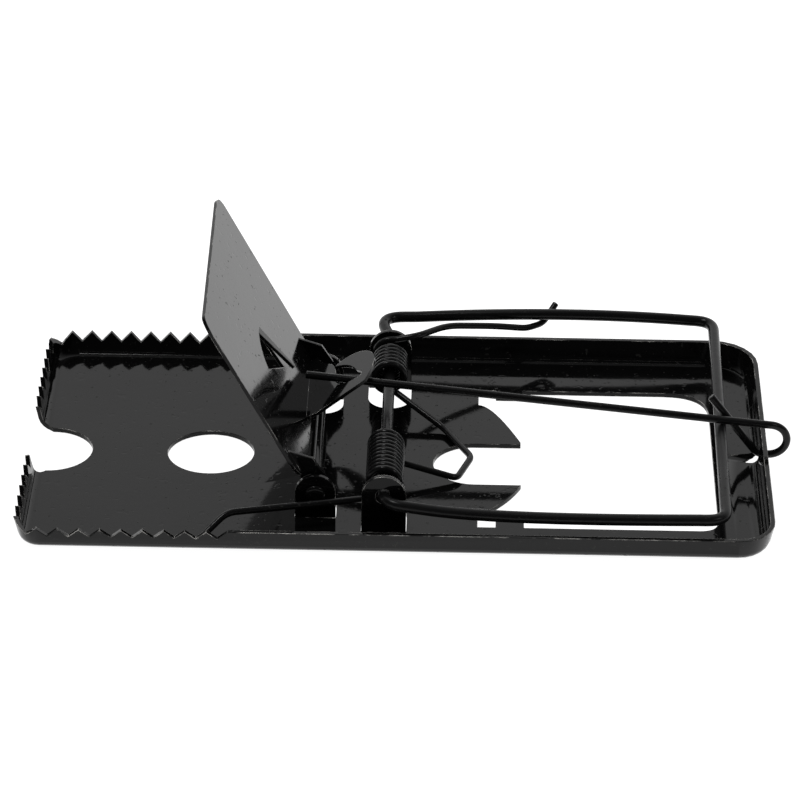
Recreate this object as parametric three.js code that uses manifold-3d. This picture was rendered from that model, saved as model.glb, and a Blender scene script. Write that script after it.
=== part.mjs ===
// Snap mouse trap in black lacquered steel, drawn as it stands when it is set.
// Millimetres, +Z up, +X along the tray towards the hold-down rod's hairpin, +Y across it.
// The origin is the middle of the tray's underside.
import * as THREE from "three";
import { mergeVertices } from "three/addons/utils/BufferGeometryUtils.js";
import Module from "manifold-3d";

const wasm = await Module();
wasm.setup();

// ---------- driving dimensions ----------

// Tray: one pressed sheet with low walls that lean outwards.
const SHEET = 0.6;
const TRAY_LENGTH = 96; // between the folds of the end walls
const TRAY_WIDTH = 51.8; // between the folds of the long walls
const WALL_RISE = 3.05; // above the floor's top face
const WALL_LEAN = 20; // degrees from upright, of the long walls
const END_LEAN = 12;
const BEND_RADIUS = 1.2;
const CORNER_RADII = [5, 3, 2.2, 3.6]; // far right, far left, near left, near right
const TOOTH_PITCH = 2.75;
const TOOTH_DEPTH = 1.35;
const TOOTHED_LENGTH = 27.4; // stretch of the long walls, from the left end
const TOOTH_OVERHANG = 0.75; // the first cut begins this far outside the left end's fold
const PUNCH_Y = -1.2; // the punched holes and ears sit this far off the middle line

// Openings in the floor. Those of the two ends are placed from the folds of the end walls.
const BAIT_HOLE_INSET = 23;
const BAIT_HOLE_RADIUS = 5.8;
const NOTCH_INSET = 1.3;
const NOTCH_RADIUS = 5.8;
const NOTCH_MOUTH = 14.4; // width where it leaves through the end wall
const NOTCH_FLARE = 1.2; // how far before its round part it begins to widen
const WINDOW_FROM_AXLE = 12.2;
const WINDOW_INSET = 5.8;
const SIDE_STRIP = 7.2; // floor left between the window and the fold of a long wall
const WINDOW_FAR_CORNER = 6;
const WINDOW_NEAR_CORNER = 2.5;
const TAB_INSET = 4.2; // window's left side to the middle of a tab
const TAB_WIDTH = 3.7;
const TAB_REACH = 1.9;
const TONGUE_REACH = 5.7;
const TONGUE_ROOT = 0.72; // share of a tongue's width that it keeps at its root
const TONGUE_TIP_WIDTH = 0.6;
const SLOT_FROM_AXLE = 6.2;
const SLOT_WIDTH = 11;
const SLOT_SHIFT = 2; // the slot sits this far to the near side of the punching's middle line

// Ears lanced up from the floor in two pairs.
const AXLE_X = -1.4;
const AXLE_HEIGHT = 5.35; // above the floor's top face
const AXLE_EAR_INSET = 5.7; // half the tray's width, less this, is the reach of its ears
const AXLE_EAR_WIDTH = 5.8;
const PIN_X = -10.4;
const PIN_HEIGHT = 3.6;
const PIN_EAR_INSET = 3.5; // the pin's ears stand this much further in
const PIN_EAR_WIDTH = 5.3;
const LANCE_KERF = 0.05;
const LANCE_SHARE = 0.86; // an ear is drawn out a little longer than the hole it came from

// Wires and the pin.
const BAR_WIRE = 1.55;
const SPRING_WIRE = 0.9;
const ROD_WIRE = 1.05;
const PIN_DIAMETER = 1.2;
const PIN_HEAD = 2.6;
const PIN_HEAD_THICKNESS = 0.45;

// Kill bar, in its set position. Its frame of wire leans a little to the back.
const CROSSPIECE_INSET = 5.2; // crosspiece to the fold of the right end wall
const BAR_NEAR_INSET = 1.3; // near corner to the fold of the near wall
const BAR_FAR_OVERHANG = 3.1; // far corner past the fold of the far wall
const BAR_SKEW = 0.5; // the far corner is further from the axle
const BAR_NEAR_DROP = 1; // corner below the axle
const BAR_FAR_DROP = 0.1;
const NEAR_ARM_BOW = [14, 0.6, 0.8]; // middle of its curve: from the axle, outwards, below the corner
const FAR_ARM_BOW = [24, 0.2, 1.5]; // the same, and above the axle
const BAR_BEND = 2.4;
const BAR_FAR_BEND = 3.6; // the axle runs on past the far ear, swings left and turns in a wider bend
const BAR_FAR_SWING = 1.9;
const BAR_FAR_TAPER = 0.6; // the far arm is this much nearer at the axle than at the crosspiece
const ARM_STEPS = 6;

// Springs: two coils of one wire round the axle.
const COIL_OUTSIDE = 5;
const NEAR_COIL_TURNS = 11;
const NEAR_COIL_ROOM = 2.25; // bare axle between the near ear and the first turn
const FAR_COIL_TURNS = 7;
const FAR_COIL_SHARE = 0.97; // its turns lie a little tighter
const FAR_COIL_ROOM = 0.2; // between the spring's far leg and the far ear
const NEAR_LEG_TIP = 14.3; // from the treadle's pin, to the left
const NEAR_LEG_BEND = 3; // from the tip to its only bend
const BAR_LEG_RUN = [3.8, 7.7, 14.3, 18.7, 21, 22.8]; // the far leg's corners, right of the axle
const BAR_LEG_HUG = [6.6, 3.6, 2, 0, -2]; // how far inside the bar's far reach the last five lie

// Treadle: a plate that leans over its pin, with a hooked flange bent out at its foot.
const TREADLE_TILT = 28.5; // degrees from upright
const TREADLE_SHEET = 0.45;
const TREADLE_TOP = 29.5; // from the pin, along the plate
const TREADLE_FOOT = 3.1; // where the wide part of the plate ends
const TREADLE_OVERLAP = 1.2; // the plate's edge past the middle of an ear
const TREADLE_SHIFT = 0.6; // the plate sits this far to the back of its ears' middle line
const TREADLE_OFFSET = 0.63; // pin to the middle of the plate
const PLATE_ROUND = 2.2;
const PLATE_CHAMFER = 1.5;
const PLATE_SLOPE = 0.6; // the near top corner is this much lower than the far one
const PLATE_HOLE_TOP = 16.3; // the bait spike is pushed out of a three-cornered hole below this
const SPIKE_LENGTH = 7.2;
const SPIKE_WIDTH = 1.8;
const SPIKE_LIFT = 13; // degrees out of the plate
const FLANGE_LEVEL = 2.8; // from the pin, along the plate
const FLANGE_INSET = 1.7; // its far end to the middle of an ear
const HOOK_OPENING = [5.78, 4.86]; // middle of the slot for the rod: out of the plate, and along it
const LUG_RADIUS = 2.3;
const LUG_TOP = 6.8;

// Hold-down rod, laid over the crosspiece.
const ROD_HOLE = 3.1;
const ROD_HOLE_Y = -0.3;
const ROD_HOLE_HEIGHT = 0.7; // above the floor's top face
const ROD_END_OVERHANG = 1.6; // the hairpin begins this far outside the fold of the right end wall
const ROD_END_Y = -1.55;
const ROD_PAST_PIN = 2.1; // its tip, beyond the treadle's pin
const TAIL_LENGTH = 10.3; // it rises just clear of the crosspiece
const TAIL_SIDE = 1.2; // how far its tip leans to the back, past the arm

// Clearances.
const RUN_GAP = 0.3; // round a wire or pin that turns in a hole
const SIDE_GAP = 0.5; // beside an ear
const REST_GAP = 0.15; // under a wire that lies on another
const TURN_GAP = 0.08; // between two turns of a coil

// Fineness of the round shapes.
const CORNER_STEPS = 6;
const BEND_STEPS = 4;
const WIRE_SIDES = 8;
const COIL_STEPS = 10; // per turn
const HOLE_STEPS = 28;

// ---------- values that follow ----------

const FLOOR = SHEET;
const RIM = FLOOR + WALL_RISE;
const AXLE_Z = FLOOR + AXLE_HEIGHT;
const PIN_Z = FLOOR + PIN_HEIGHT;
const END_X = TRAY_LENGTH / 2;
const SIDE_Y = TRAY_WIDTH / 2;
const AXLE_EAR_REACH = SIDE_Y - AXLE_EAR_INSET;
const PIN_EAR_REACH = AXLE_EAR_REACH - PIN_EAR_INSET;
const COIL_RADIUS = (COIL_OUTSIDE - SPRING_WIRE) / 2;
const AXLE_HOLE = BAR_WIRE + 2 * RUN_GAP;
const NEAR_AXLE_EAR_Y = PUNCH_Y - AXLE_EAR_REACH;
const FAR_AXLE_EAR_Y = PUNCH_Y + AXLE_EAR_REACH;
const NEAR_PIN_EAR_Y = PUNCH_Y - PIN_EAR_REACH;
const FAR_PIN_EAR_Y = PUNCH_Y + PIN_EAR_REACH;
const LUG_REACH = PIN_EAR_REACH - SHEET / 2 - SIDE_GAP - TREADLE_SHEET / 2;
const TREADLE_WIDTH = 2 * (PIN_EAR_REACH + TREADLE_OVERLAP);
const FLANGE_WIDTH = PIN_EAR_REACH - FLANGE_INSET;
const WINDOW_LEFT = AXLE_X + WINDOW_FROM_AXLE;
const WINDOW_RIGHT = END_X - WINDOW_INSET;
const SLOT_LEFT = AXLE_X + SLOT_FROM_AXLE;
const SLOT_Y = PUNCH_Y - SLOT_SHIFT;
const TONGUE_TIP = WINDOW_LEFT + TONGUE_REACH;
const CROSS_X = END_X - CROSSPIECE_INSET;
const BAR_NEAR_Y = -(SIDE_Y - BAR_NEAR_INSET);
const BAR_FAR_Y = SIDE_Y + BAR_FAR_OVERHANG;
const BAR_NEAR_Z = AXLE_Z - BAR_NEAR_DROP;
const BAR_FAR_Z = AXLE_Z - BAR_FAR_DROP;
const BAR_TO_ROD = (BAR_WIRE + ROD_WIRE) / 2 + REST_GAP;
const COIL_PITCH = SPRING_WIRE + TURN_GAP;
const NEAR_COIL_START = NEAR_AXLE_EAR_Y + SHEET / 2 + SPRING_WIRE / 2 + NEAR_COIL_ROOM;
const LEG_ADVANCE = 0.5; // from the far leg's half turn to its first straight
const BAR_LEG_START = FAR_AXLE_EAR_Y - SHEET / 2 - FAR_COIL_ROOM - SPRING_WIRE / 2 - LEG_ADVANCE;
const FAR_COIL_START = BAR_LEG_START - COIL_PITCH * (FAR_COIL_TURNS - 1) - RUN_GAP - SPRING_WIRE;

const radians = THREE.MathUtils.degToRad;

// ---------- solids ----------

// A closed geometry, moved by a matrix if one is given, as a solid that can be cut and joined.
function solid(geometry, matrix) {
  const bare = geometry.clone();
  bare.deleteAttribute("normal");
  bare.deleteAttribute("uv");
  if (matrix) bare.applyMatrix4(matrix);
  const merged = mergeVertices(bare, 1e-4);
  return new wasm.Manifold(
    new wasm.Mesh({
      numProp: 3,
      vertProperties: new Float32Array(merged.attributes.position.array),
      triVerts: new Uint32Array(merged.index.array),
    }),
  );
}

function geometryOf(made) {
  const mesh = made.getMesh();
  const geometry = new THREE.BufferGeometry();
  geometry.setAttribute("position", new THREE.BufferAttribute(mesh.vertProperties, 3));
  geometry.setIndex(new THREE.BufferAttribute(mesh.triVerts, 1));
  const flat = geometry.toNonIndexed();
  flat.computeVertexNormals();
  return flat;
}

// A flat outline with a thickness, from the plane z = 0 upwards.
function plate(shape, thickness, curveSegments = 12) {
  return new THREE.ExtrudeGeometry(shape, { depth: thickness, bevelEnabled: false, curveSegments });
}

// Turns a plate drawn in X and Y so that its Y points up and its thickness runs across, centred on y.
function standing(y, thickness) {
  return new THREE.Matrix4()
    .makeTranslation(0, y + thickness / 2, 0)
    .multiply(new THREE.Matrix4().makeRotationX(Math.PI / 2));
}

function lacquer(name, geometry, color, roughness) {
  const material = new THREE.MeshStandardMaterial({ color, roughness, metalness: 0.1 });
  const mesh = new THREE.Mesh(geometry, material);
  mesh.name = name;
  return mesh;
}

// ---------- wire ----------

// A wire's centre line given point by point, so that a straight run costs one step.
class WireLine extends THREE.Curve {
  constructor(points) {
    super();
    this.points = points;
  }

  getPoint(t, target = new THREE.Vector3()) {
    const last = this.points.length - 1;
    const place = THREE.MathUtils.clamp(t, 0, 1) * last;
    const index = Math.min(Math.floor(place), last - 1);
    return target.lerpVectors(this.points[index], this.points[index + 1], place - index);
  }

  getUtoTmapping(u) {
    return u;
  }
}

function wire(points, diameter, sides = WIRE_SIDES) {
  const section = new THREE.Shape();
  for (let i = 0; i < sides; i++) {
    const angle = (2 * Math.PI * i) / sides;
    const x = (diameter / 2) * Math.cos(angle);
    const y = (diameter / 2) * Math.sin(angle);
    if (i === 0) section.moveTo(x, y);
    else section.lineTo(x, y);
  }
  const steps = points.length - 1;
  return new THREE.ExtrudeGeometry(section, { steps, extrudePath: new WireLine(points), curveSegments: 1 });
}

// Rounds each inner corner of a line of points; bends[i] is how far from corner i the bend begins.
function bent(corners, bends, steps = 5) {
  const points = [corners[0]];
  for (let i = 1; i < corners.length - 1; i++) {
    const corner = corners[i];
    if (!bends[i]) {
      points.push(corner);
      continue;
    }
    const before = corners[i - 1].clone().sub(corner).setLength(bends[i]).add(corner);
    const after = corners[i + 1].clone().sub(corner).setLength(bends[i]).add(corner);
    points.push(...new THREE.QuadraticBezierCurve3(before, corner, after).getPoints(steps));
  }
  points.push(corners[corners.length - 1]);
  return points;
}

const point = (x, y, z) => new THREE.Vector3(x, y, z);

// ---------- tray ----------

// Rounded rectangle round the tray. The profile gives how far outside the folds and how high a
// point lies, for a wall of a given lean; the lean passes from one wall's to the next's at a corner.
function trayRing(profile) {
  const ring = [];
  for (let corner = 0; corner < 4; corner++) {
    const right = corner === 0 || corner === 3 ? 1 : -1;
    const back = corner < 2 ? 1 : -1;
    for (let step = 0; step <= CORNER_STEPS; step++) {
      const angle = (Math.PI / 2) * (corner + step / CORNER_STEPS);
      const lean = radians(THREE.MathUtils.lerp(WALL_LEAN, END_LEAN, Math.cos(angle) ** 2));
      const [outset, z] = profile(lean);
      const radius = CORNER_RADII[corner] + outset;
      const x = right * (END_X + outset - radius) + radius * Math.cos(angle);
      const y = back * (SIDE_Y + outset - radius) + radius * Math.sin(angle);
      ring.push(point(x, y, z));
    }
  }
  return ring;
}

// Skins a stack of rings with equal counts, and closes the first and the last with flat fans.
function skinned(rings) {
  const count = rings[0].length;
  const positions = rings.flat().flatMap((p) => [p.x, p.y, p.z]);
  const index = [];
  for (let r = 0; r < rings.length - 1; r++) {
    for (let i = 0; i < count; i++) {
      const a = r * count + i;
      const b = r * count + ((i + 1) % count);
      index.push(a, b, b + count, a, b + count, a + count);
    }
  }
  const top = (rings.length - 1) * count;
  for (let i = 1; i < count - 1; i++) {
    index.push(0, i + 1, i);
    index.push(top, top + i, top + i + 1);
  }
  const geometry = new THREE.BufferGeometry();
  geometry.setAttribute("position", new THREE.Float32BufferAttribute(positions, 3));
  geometry.setIndex(index);
  return geometry;
}

// The pan: up the outside from the underside, over the rim and down the inside to the floor.
function pan() {
  const bend = (radius) => {
    const rings = [];
    for (let step = 0; step <= BEND_STEPS; step++) {
      const profile = (lean) => {
        const turn = Math.PI / 2 - lean;
        const angle = -Math.PI / 2 + (turn * step) / BEND_STEPS;
        const outset = radius * Math.cos(angle) - BEND_RADIUS * Math.tan(turn / 2);
        return [outset, FLOOR + BEND_RADIUS + radius * Math.sin(angle)];
      };
      rings.push(trayRing(profile));
    }
    return rings;
  };
  const innerRim = trayRing((lean) => [WALL_RISE * Math.tan(lean), RIM]);
  const outerRim = trayRing((lean) => [WALL_RISE * Math.tan(lean) + SHEET / Math.cos(lean), RIM]);
  const outside = [...bend(BEND_RADIUS + SHEET), outerRim];
  const inside = [innerRim, ...bend(BEND_RADIUS).reverse()];
  return solid(skinned([...outside, ...inside]));
}

// Row of V cuts from x = 0 to x = length, whose points reach depth below y = 0.
function sawShape(length, depth) {
  const tipSink = 0.05;
  const above = 2;
  const count = Math.round(length / TOOTH_PITCH);
  const pitch = length / count;
  const shape = new THREE.Shape();
  shape.moveTo(0, above);
  for (let i = 0; i < count; i++) {
    shape.lineTo(i * pitch, -tipSink);
    shape.lineTo((i + 0.5) * pitch, -depth);
  }
  shape.lineTo(length, -tipSink);
  shape.lineTo(length, above);
  shape.closePath();
  return shape;
}

function toothCutters() {
  const overrun = 10;
  const across = TRAY_WIDTH + 2 * overrun;
  const upright = new THREE.Matrix4().makeRotationX(Math.PI / 2);
  const sides = solid(
    plate(sawShape(TOOTHED_LENGTH, TOOTH_DEPTH), across),
    new THREE.Matrix4().makeTranslation(-END_X - TOOTH_OVERHANG, across / 2, RIM).multiply(upright),
  );
  const endLength = TRAY_WIDTH - CORNER_RADII[1];
  const reach = 2 * RIM; // covers the end wall's rim
  const end = solid(
    plate(sawShape(endLength, TOOTH_DEPTH), reach),
    new THREE.Matrix4()
      .makeTranslation(-END_X - 0.75 * reach, -endLength / 2, RIM)
      .multiply(new THREE.Matrix4().makeRotationZ(Math.PI / 2))
      .multiply(upright),
  );
  return sides.add(end);
}

// Cuts an outline drawn in plan right through the tray.
function throughCut(shape, curveSegments = 12) {
  const overrun = 2;
  const depth = RIM + 2 * overrun;
  return solid(plate(shape, depth, curveSegments), new THREE.Matrix4().makeTranslation(0, 0, -overrun));
}

function roundHole(x, y, radius) {
  const shape = new THREE.Shape();
  shape.absarc(x, y, radius, 0, 2 * Math.PI);
  return throughCut(shape, HOLE_STEPS);
}

// Round notch that flares as it leaves through the left end wall.
function endNotch() {
  const notchX = -END_X + NOTCH_INSET;
  const outside = -END_X - WALL_RISE - SHEET;
  const flare = notchX - NOTCH_FLARE;
  const shape = new THREE.Shape();
  shape.moveTo(outside, PUNCH_Y - NOTCH_MOUTH / 2);
  shape.quadraticCurveTo(flare, PUNCH_Y - NOTCH_MOUTH / 2, notchX, PUNCH_Y - NOTCH_RADIUS);
  shape.absarc(notchX, PUNCH_Y, NOTCH_RADIUS, -Math.PI / 2, Math.PI / 2, false);
  shape.quadraticCurveTo(flare, PUNCH_Y + NOTCH_MOUTH / 2, outside, PUNCH_Y + NOTCH_MOUTH / 2);
  shape.closePath();
  return throughCut(shape);
}

// The large window with the slot between its two tongues, all one outline.
function windowCut() {
  const half = SIDE_Y - SIDE_STRIP;
  const near = PUNCH_Y - half;
  const far = PUNCH_Y + half;
  const slotNear = SLOT_Y - SLOT_WIDTH / 2;
  const slotFar = SLOT_Y + SLOT_WIDTH / 2;
  const tabLeft = WINDOW_LEFT + TAB_INSET - TAB_WIDTH / 2;
  const tabRight = tabLeft + TAB_WIDTH;
  const nearRoot = slotNear - TONGUE_ROOT * (slotNear - near);
  const farRoot = slotFar + TONGUE_ROOT * (far - slotFar);
  const bulge = 1.95; // how far a tongue's curved edge bows out
  const shape = new THREE.Shape();
  shape.moveTo(WINDOW_LEFT, near);
  shape.lineTo(tabLeft, near);
  shape.lineTo(tabLeft, near + TAB_REACH);
  shape.lineTo(tabRight, near + TAB_REACH);
  shape.lineTo(tabRight, near);
  shape.lineTo(WINDOW_RIGHT - WINDOW_NEAR_CORNER, near);
  shape.quadraticCurveTo(WINDOW_RIGHT, near, WINDOW_RIGHT, near + WINDOW_NEAR_CORNER);
  shape.lineTo(WINDOW_RIGHT, far - WINDOW_FAR_CORNER);
  shape.quadraticCurveTo(WINDOW_RIGHT, far, WINDOW_RIGHT - WINDOW_FAR_CORNER, far);
  shape.lineTo(tabRight, far);
  shape.lineTo(tabRight, far - TAB_REACH);
  shape.lineTo(tabLeft, far - TAB_REACH);
  shape.lineTo(tabLeft, far);
  shape.lineTo(WINDOW_LEFT, far);
  shape.lineTo(WINDOW_LEFT, farRoot);
  shape.quadraticCurveTo(WINDOW_LEFT + bulge, farRoot, TONGUE_TIP, slotFar + TONGUE_TIP_WIDTH);
  shape.lineTo(TONGUE_TIP, slotFar);
  shape.lineTo(SLOT_LEFT + SLOT_WIDTH / 2, slotFar);
  shape.absarc(SLOT_LEFT + SLOT_WIDTH / 2, SLOT_Y, SLOT_WIDTH / 2, Math.PI / 2, 1.5 * Math.PI, false);
  shape.lineTo(TONGUE_TIP, slotNear);
  shape.quadraticCurveTo(TONGUE_TIP - bulge, nearRoot + 1.6 * bulge, WINDOW_LEFT, nearRoot);
  shape.closePath();
  return throughCut(shape, 10);
}

// The hole that an ear leaves in the floor, round at the end where the ear's top was.
function lanceCut(x, earY, inward, width, earTop) {
  const half = width / 2 + LANCE_KERF;
  const tip = earY + inward * (LANCE_SHARE * earTop + LANCE_KERF - half);
  const shape = new THREE.Shape();
  shape.moveTo(x - half, earY);
  shape.lineTo(x - half, tip);
  shape.absarc(x, tip, half, Math.PI, 0, inward > 0);
  shape.lineTo(x + half, earY);
  shape.closePath();
  return throughCut(shape, 10);
}

// A standing ear with a round top over its hole.
function ear(x, y, width, holeZ, holeDiameter) {
  const shape = new THREE.Shape();
  shape.moveTo(x - width / 2, 0);
  shape.lineTo(x + width / 2, 0);
  shape.absarc(x, holeZ, width / 2, 0, Math.PI, false);
  shape.closePath();
  const hole = new THREE.Path();
  hole.absarc(x, holeZ, holeDiameter / 2, 0, 2 * Math.PI);
  shape.holes.push(hole);
  return solid(plate(shape, SHEET, 10), standing(y, SHEET));
}

// The hole for the rod, drilled slantwise through the fold of the right end wall.
function rodHole() {
  const length = 12;
  const drill = new THREE.CylinderGeometry(ROD_HOLE / 2, ROD_HOLE / 2, length, 16);
  const place = new THREE.Matrix4()
    .makeTranslation(END_X, ROD_HOLE_Y, FLOOR + ROD_HOLE_HEIGHT)
    .multiply(new THREE.Matrix4().makeRotationY(radians(90 + END_LEAN)))
    .multiply(new THREE.Matrix4().makeRotationX(Math.PI / 2));
  return solid(drill, place);
}

function baseTray() {
  const axleEarTop = AXLE_HEIGHT + AXLE_EAR_WIDTH / 2;
  const pinEarTop = PIN_HEIGHT + PIN_EAR_WIDTH / 2;
  const cuts = [
    toothCutters(),
    roundHole(-END_X + BAIT_HOLE_INSET, PUNCH_Y, BAIT_HOLE_RADIUS),
    endNotch(),
    windowCut(),
    lanceCut(AXLE_X, NEAR_AXLE_EAR_Y, 1, AXLE_EAR_WIDTH, axleEarTop),
    lanceCut(AXLE_X, FAR_AXLE_EAR_Y, -1, AXLE_EAR_WIDTH, axleEarTop),
    lanceCut(PIN_X, NEAR_PIN_EAR_Y, 1, PIN_EAR_WIDTH, pinEarTop),
    lanceCut(PIN_X, FAR_PIN_EAR_Y, -1, PIN_EAR_WIDTH, pinEarTop),
    rodHole(),
  ];
  const pinHole = PIN_DIAMETER + RUN_GAP;
  const ears = [
    ear(AXLE_X, NEAR_AXLE_EAR_Y, AXLE_EAR_WIDTH, AXLE_Z, AXLE_HOLE),
    ear(AXLE_X, FAR_AXLE_EAR_Y, AXLE_EAR_WIDTH, AXLE_Z, AXLE_HOLE),
    ear(PIN_X, NEAR_PIN_EAR_Y, PIN_EAR_WIDTH, PIN_Z, pinHole),
    ear(PIN_X, FAR_PIN_EAR_Y, PIN_EAR_WIDTH, PIN_Z, pinHole),
  ];
  let made = pan();
  for (const cut of cuts) made = made.subtract(cut);
  for (const piece of ears) made = made.add(piece);
  return lacquer("base_tray", geometryOf(made), 0x0b0b0c, 0.12);
}

// ---------- treadle and its pin ----------

// The pin, turned about Y, with a head outside each ear.
function treadlePin() {
  const half = PIN_EAR_REACH + SHEET / 2 + REST_GAP;
  const r = PIN_DIAMETER / 2;
  const head = PIN_HEAD / 2;
  const profile = [
    new THREE.Vector2(0, -half - PIN_HEAD_THICKNESS),
    new THREE.Vector2(0.7 * head, -half - PIN_HEAD_THICKNESS),
    new THREE.Vector2(head, -half - PIN_HEAD_THICKNESS / 2),
    new THREE.Vector2(head, -half),
    new THREE.Vector2(r, -half),
    new THREE.Vector2(r, half),
    new THREE.Vector2(head, half),
    new THREE.Vector2(head, half + PIN_HEAD_THICKNESS / 2),
    new THREE.Vector2(0.7 * head, half + PIN_HEAD_THICKNESS),
    new THREE.Vector2(0, half + PIN_HEAD_THICKNESS),
  ];
  const pin = lacquer("treadle_pin", new THREE.LatheGeometry(profile, 14), 0x151515, 0.25);
  pin.position.set(PIN_X, PUNCH_Y, PIN_Z);
  return pin;
}

// Treadle parts are drawn about the pin: X out of the plate's face, Y along the pin, Z up the plate.

// Stands a plan drawn in (Y, Z) up as a sheet whose middle is at the given X.
function facing(x, thickness) {
  return new THREE.Matrix4().makeBasis(point(0, 1, 0), point(0, 0, 1), point(1, 0, 0))
    .premultiply(new THREE.Matrix4().makeTranslation(x - thickness / 2, 0, 0));
}

function treadlePlate() {
  const near = TREADLE_SHIFT - TREADLE_WIDTH / 2;
  const far = TREADLE_SHIFT + TREADLE_WIDTH / 2;
  const neck = LUG_REACH + TREADLE_SHEET / 2;
  const foot = LUG_RADIUS * 0.75;
  const lowTop = TREADLE_TOP - PLATE_SLOPE;
  const shape = new THREE.Shape();
  shape.moveTo(-neck, foot);
  shape.lineTo(neck, foot);
  shape.lineTo(neck, TREADLE_FOOT);
  shape.lineTo(far - PLATE_SLOPE, TREADLE_FOOT);
  shape.lineTo(far, TREADLE_TOP - PLATE_ROUND);
  shape.quadraticCurveTo(far, TREADLE_TOP, far - PLATE_ROUND, TREADLE_TOP);
  shape.lineTo(near + PLATE_CHAMFER, lowTop);
  shape.quadraticCurveTo(near + PLATE_CHAMFER / 5, lowTop, near, TREADLE_TOP - 2 * PLATE_CHAMFER);
  shape.lineTo(near, TREADLE_FOOT + PLATE_CHAMFER);
  shape.lineTo(near + PLATE_CHAMFER * PLATE_SLOPE, TREADLE_FOOT);
  shape.lineTo(-neck, TREADLE_FOOT);
  shape.closePath();
  const hole = new THREE.Path();
  hole.moveTo(1.6, PLATE_HOLE_TOP);
  hole.quadraticCurveTo(-2.4, PLATE_HOLE_TOP - 0.4, -4.0, PLATE_HOLE_TOP - 3.2);
  hole.lineTo(2.6, PLATE_HOLE_TOP - 6.9);
  hole.closePath();
  shape.holes.push(hole);
  return solid(plate(shape, TREADLE_SHEET, 6), facing(-TREADLE_OFFSET, TREADLE_SHEET));
}

// Bait spike: the point of sheet from the hole, hanging from its top corner and bent out.
function baitSpike() {
  const root = 0.6; // runs into the plate above the hole
  const tip = 0.25;
  const shape = new THREE.Shape();
  shape.moveTo(-SPIKE_WIDTH / 2, root);
  shape.lineTo(SPIKE_WIDTH / 2, root);
  shape.lineTo(tip, -SPIKE_LENGTH);
  shape.lineTo(-tip, -SPIKE_LENGTH);
  shape.closePath();
  const place = new THREE.Matrix4()
    .makeTranslation(-TREADLE_OFFSET, 1.7, PLATE_HOLE_TOP)
    .multiply(new THREE.Matrix4().makeRotationY(-radians(SPIKE_LIFT)))
    .multiply(facing(0, TREADLE_SHEET));
  return solid(plate(shape, TREADLE_SHEET), place);
}

// Flange at right angles to the plate; its hook reaches round the rod and over it.
function hookedFlange() {
  const root = -TREADLE_OFFSET;
  const [slotX, slotY] = HOOK_OPENING;
  const near = -0.9;
  const tipX = slotX + 3.82;
  const tipY = slotY + 6.44;
  const shape = new THREE.Shape();
  shape.moveTo(root, near);
  shape.lineTo(1.2, near);
  shape.lineTo(tipX - 1.3, 2.2);
  shape.quadraticCurveTo(tipX + 0.1, slotY + 0.14, tipX, slotY + 2.94);
  shape.quadraticCurveTo(tipX - 0.4, tipY - 0.5, slotX + 0.82, tipY);
  shape.quadraticCurveTo(slotX - 1.18, tipY - 0.1, slotX - 2.28, slotY + 5.14);
  shape.quadraticCurveTo(slotX + 0.02, slotY + 4.54, slotX + 1.12, slotY + 1.54);
  shape.lineTo(slotX + 2.02, slotY + 0.34);
  shape.quadraticCurveTo(slotX + 2.22, slotY - 1.06, slotX + 0.22, slotY - 1.06);
  shape.quadraticCurveTo(slotX - 1.78, slotY - 1.06, slotX - 1.98, slotY + 0.74);
  shape.quadraticCurveTo(slotX - 1.88, slotY + 4.74, slotX - 2.78, tipY - 0.1);
  shape.quadraticCurveTo(1.4, tipY + 1.3, 0.7, FLANGE_WIDTH);
  shape.lineTo(root, FLANGE_WIDTH);
  shape.closePath();
  return solid(
    plate(shape, TREADLE_SHEET, 6),
    new THREE.Matrix4().makeTranslation(0, 0, FLANGE_LEVEL - TREADLE_SHEET / 2),
  );
}

// Side lug, bent back from the plate's edge, that turns on the pin.
function treadleLug(side) {
  const shape = new THREE.Shape();
  shape.moveTo(-TREADLE_OFFSET, LUG_TOP);
  shape.lineTo(-TREADLE_OFFSET, LUG_RADIUS * 0.6);
  shape.absarc(0, 0, LUG_RADIUS, radians(140), radians(380), false);
  shape.lineTo(1.9, 4.2);
  shape.closePath();
  const hole = new THREE.Path();
  hole.absarc(0, 0, PIN_DIAMETER / 2 + RUN_GAP, 0, 2 * Math.PI);
  shape.holes.push(hole);
  return solid(plate(shape, TREADLE_SHEET, 8), standing(side * LUG_REACH, TREADLE_SHEET));
}

function treadle() {
  const made = treadlePlate()
    .add(baitSpike())
    .add(hookedFlange())
    .add(treadleLug(-1))
    .add(treadleLug(1));
  const mesh = lacquer("treadle", geometryOf(made), 0x0f0f10, 0.15);
  mesh.position.set(PIN_X, PUNCH_Y, PIN_Z);
  mesh.rotation.y = -radians(TREADLE_TILT);
  return mesh;
}

// ---------- kill bar ----------

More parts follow.
